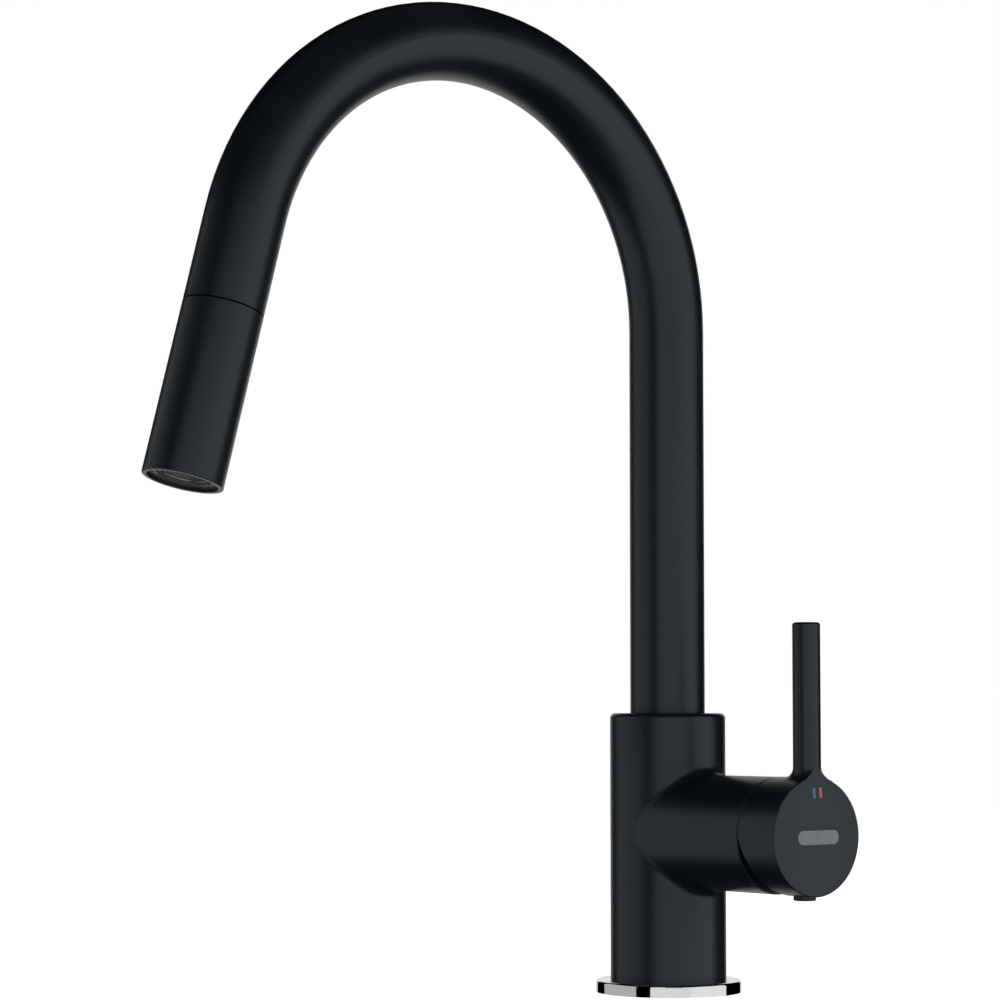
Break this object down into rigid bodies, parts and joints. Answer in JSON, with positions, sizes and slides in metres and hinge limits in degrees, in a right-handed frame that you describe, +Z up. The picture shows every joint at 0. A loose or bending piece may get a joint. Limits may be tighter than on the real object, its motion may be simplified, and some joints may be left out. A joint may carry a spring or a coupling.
{
  "type": "pull-down kitchen faucet",
  "caption": "High-arc kitchen tap with a spray head that pulls down on a hose, a side lever and a round base ring.",
  "frame": {"origin": "centre of the base ring's underside, on the worktop", "axes": "+Z up, the spout reaches towards -Y, the lever stands out along +X"},
  "size_m": [0.1075, 0.2569, 0.359],
  "materials": {
    "black_paint": "matt powder coat",
    "chrome_ring": "polished",
    "rubber_seals": "moulded",
    "black_plastic": "moulded",
    "white_plastic": "moulded",
    "ceramic": "lapped",
    "brass": "machined",
    "steel": "machined",
    "hose_cover": "braided nylon",
    "grey_plastic": "moulded",
    "cold_blue": "filled enamel",
    "hot_red": "filled enamel",
    "badge_grey": "satin"
  },
  "bodies": {
    "tap_body": {"base_ring": "chrome_ring", "base_gasket": "rubber_seals", "tap_body": "black_paint", "hose_guide": "black_plastic", "thrust_washer": "white_plastic", "spout_upper_ring": "black_plastic", "spout_stop_screw": "steel", "cartridge_base": "white_plastic", "cartridge_seals": "rubber_seals", "fixed_disc": "ceramic", "cartridge_housing": "white_plastic", "cartridge_nut": "brass", "cartridge_dome": "black_plastic"},
    "spout": {"spout_foot": "brass", "spout_lower_ring": "white_plastic", "spout_tube": "black_paint", "docking_bush": "white_plastic", "spray_hose": "hose_cover"},
    "hose_end": {"hose_ferrule": "steel", "hose_nipple": "brass"},
    "spray_head": {"hose_nut": "brass", "hose_seal": "rubber_seals", "spray_insert": "black_plastic", "spray_shell": "black_paint", "check_valve_body": "white_plastic", "check_valve_spring": "steel", "aerator_seal": "rubber_seals", "aerator_housing": "grey_plastic", "aerator_insert": "white_plastic", "aerator_screen": "steel"},
    "check_valve_poppet": {"check_valve_poppet": "white_plastic"},
    "cartridge_rotor": {"cartridge_rotor": "white_plastic", "pivot_pin": "steel"},
    "lever": {"cartridge_stem": "brass", "lever_handle": "black_paint", "lever_screw": "steel", "lever_plug": "black_plastic", "cold_mark": "cold_blue", "hot_mark": "hot_red", "blank_badge": "badge_grey"},
    "moving_disc": {"moving_disc": "ceramic", "disc_driver": "white_plastic"}
  },
  "joints": [
    {"name": "spout_swivel", "type": "hinge", "parent": "tap_body", "child": "spout", "pos_m": [0, 0, 0], "axis": [0, 0, 1], "range_deg": [-60, 60]},
    {"name": "spray_pull", "type": "slide", "parent": "spout", "child": "hose_end", "axis": [0, -0.2588, -0.9659], "range_m": [0, 0.17]},
    {"name": "spray_swivel", "type": "hinge", "parent": "hose_end", "child": "spray_head", "pos_m": [0, -0.19168, 0.27274], "axis": [0, -0.2588, -0.9659], "continuous": true},
    {"name": "poppet_lift", "type": "slide", "parent": "spray_head", "child": "check_valve_poppet", "axis": [0, -0.2588, -0.9659], "range_m": [0, 0.0015], "stiffness_N_per_m": 40, "springref_m": -0.003, "deforming": ["check_valve_spring"]},
    {"name": "lever_turn", "type": "hinge", "parent": "tap_body", "child": "cartridge_rotor", "pos_m": [0, 0, 0.0598], "axis": [1, 0, 0], "range_deg": [-45, 45]},
    {"name": "lever_lift", "type": "hinge", "parent": "cartridge_rotor", "child": "lever", "pos_m": [0.05, 0, 0.0598], "axis": [0, 1, 0], "range_deg": [0, 16]},
    {"name": "disc_slide", "type": "slide", "parent": "cartridge_rotor", "child": "moving_disc", "axis": [0, 0, 1], "range_m": [0, 0.00359]}
  ],
  "couplings": [
    {"joint": "disc_slide", "follows": "lever_lift", "m_per_rad": 0.0128}
  ]
}
